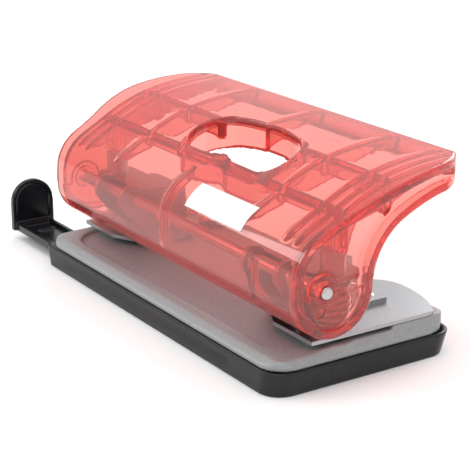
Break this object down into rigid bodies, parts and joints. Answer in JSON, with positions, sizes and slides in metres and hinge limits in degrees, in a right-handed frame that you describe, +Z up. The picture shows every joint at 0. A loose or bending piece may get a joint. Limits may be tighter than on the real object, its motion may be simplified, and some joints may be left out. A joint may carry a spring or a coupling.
{
  "type": "hole punch",
  "caption": "Small desk two-hole paper punch with a clear red ribbed lever, metal base plate, sliding paper guide and chip tray.",
  "frame": {"origin": "middle of the chip tray's flat underside, on the ground midway between the two punches", "axes": "+X along the punch towards the end away from the paper guide, +Y to the back where the lever's lip is, +Z up"},
  "size_m": [0.1169, 0.046, 0.0401],
  "materials": {
    "red_plastic": "clear red moulded plastic, polished",
    "silver_plate": "silver satin lacquer with a fine metallic grain",
    "bright_steel": "bright plated sheet, satin",
    "hardware_steel": "plated steel",
    "tool_steel": "ground steel",
    "spring_steel": "bright spring wire",
    "smoke_plastic": "smoke grey see-through plastic",
    "white_label": "plain white film",
    "black_plastic": "black moulded plastic"
  },
  "bodies": {
    "base": {"base_plate": "silver_plate", "guide_plate_left": "bright_steel", "guide_plate_right": "bright_steel", "bridge_left": "bright_steel", "bridge_right": "bright_steel", "rivets_left": "hardware_steel", "rivets_right": "hardware_steel", "axle": "hardware_steel"},
    "lever": {"handle": "red_plastic", "label_panel": "white_label"},
    "punch_left": {"punch_pin_left": "tool_steel", "pin_ring_left": "tool_steel", "punch_spring_left": "spring_steel"},
    "punch_right": {"punch_pin_right": "tool_steel", "pin_ring_right": "tool_steel", "punch_spring_right": "spring_steel"},
    "guide": {"paper_guide": "black_plastic"},
    "tray": {"chip_tray": "smoke_plastic"}
  },
  "joints": [
    {"name": "lever_hinge", "type": "hinge", "parent": "base", "child": "lever", "pos_m": [0, -0.0108, 0.0193], "axis": [-1, 0, 0], "range_deg": [0, 20], "stiffness_Nm_per_rad": 0.0813, "springref_deg": -32.14},
    {"name": "punch_left_stroke", "type": "slide", "parent": "base", "child": "punch_left", "axis": [0, 0, -1], "range_m": [0, 0.00255], "deforming": ["punch_spring_left"]},
    {"name": "punch_right_stroke", "type": "slide", "parent": "base", "child": "punch_right", "axis": [0, 0, -1], "range_m": [0, 0.00255], "deforming": ["punch_spring_right"]},
    {"name": "guide_slide", "type": "slide", "parent": "base", "child": "guide", "axis": [-1, 0, 0], "range_m": [-0.0184, 0.048]},
    {"name": "tray_release", "type": "slide", "parent": "base", "child": "tray", "axis": [0, 0, -1], "range_m": [0, 0.02]}
  ],
  "couplings": [
    {"joint": "punch_left_stroke", "follows": "lever_hinge", "m_per_rad": 0.00713},
    {"joint": "punch_right_stroke", "follows": "lever_hinge", "m_per_rad": 0.00713}
  ]
}
